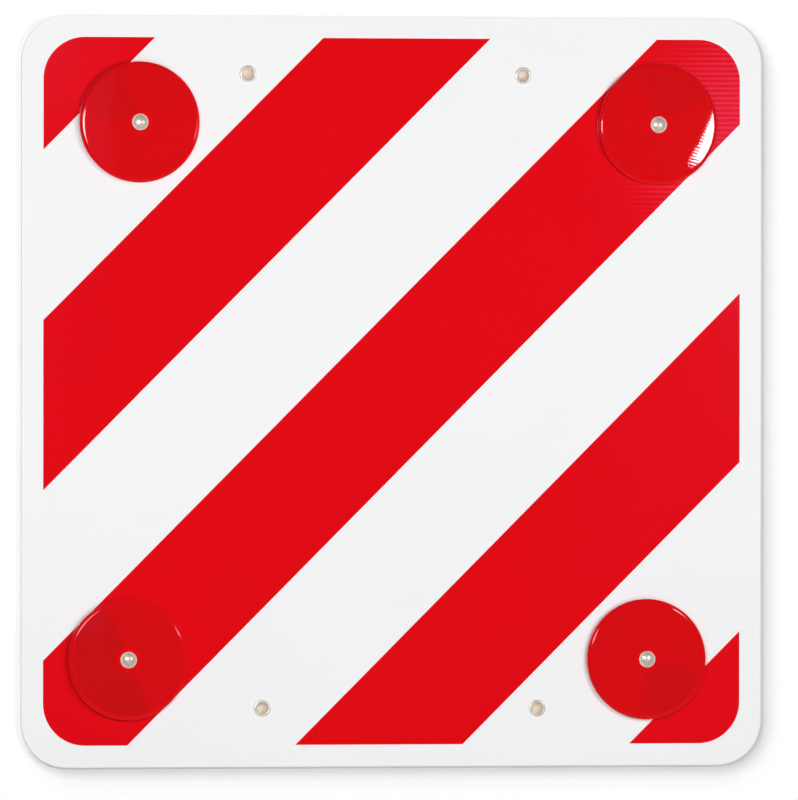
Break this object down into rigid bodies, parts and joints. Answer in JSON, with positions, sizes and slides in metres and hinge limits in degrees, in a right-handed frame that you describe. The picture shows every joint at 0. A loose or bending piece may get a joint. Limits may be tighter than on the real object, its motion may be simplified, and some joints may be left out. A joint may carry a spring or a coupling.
{
  "type": "overhanging load sign",
  "caption": "Square red and white striped plastic panel with round red reflectors and metal eyelets, tied to the rear end of a load that overhangs a vehicle.",
  "frame": {"origin": "on the surface that the sign lies on, under the middle of the board", "axes": "+Z out of the striped face, +X to the right of the face, +Y up the face"},
  "size_m": [0.5, 0.5, 0.0145],
  "materials": {
    "white_board": "satin, faintly ribbed by the flutes inside",
    "red_film": "glossy",
    "red_lens": "clear gloss over a moulded prism field",
    "reflector_back": "matt moulded",
    "rivet_metal": "polished",
    "washer_metal": "plain",
    "eyelet_metal": "bright nickel plating"
  },
  "bodies": {
    "root": {"board": "white_board", "red_corner_upper_left": "red_film", "red_stripe_upper_left": "red_film", "red_stripe_middle": "red_film", "red_stripe_lower_right": "red_film", "red_corner_lower_right": "red_film", "reflector_lens_upper_left": "red_lens", "reflector_back_upper_left": "reflector_back", "rivet_upper_left": "rivet_metal", "rivet_washer_upper_left": "washer_metal", "eyelet_upper_left": "eyelet_metal", "eyelet_washer_upper_left": "eyelet_metal", "reflector_lens_upper_right": "red_lens", "reflector_back_upper_right": "reflector_back", "rivet_upper_right": "rivet_metal", "rivet_washer_upper_right": "washer_metal", "eyelet_upper_right": "eyelet_metal", "eyelet_washer_upper_right": "eyelet_metal", "reflector_lens_lower_left": "red_lens", "reflector_back_lower_left": "reflector_back", "rivet_lower_left": "rivet_metal", "rivet_washer_lower_left": "washer_metal", "eyelet_lower_left": "eyelet_metal", "eyelet_washer_lower_left": "eyelet_metal", "reflector_lens_lower_right": "red_lens", "reflector_back_lower_right": "reflector_back", "rivet_lower_right": "rivet_metal", "rivet_washer_lower_right": "washer_metal", "eyelet_lower_right": "eyelet_metal", "eyelet_washer_lower_right": "eyelet_metal"}
  },
  "joints": []
}
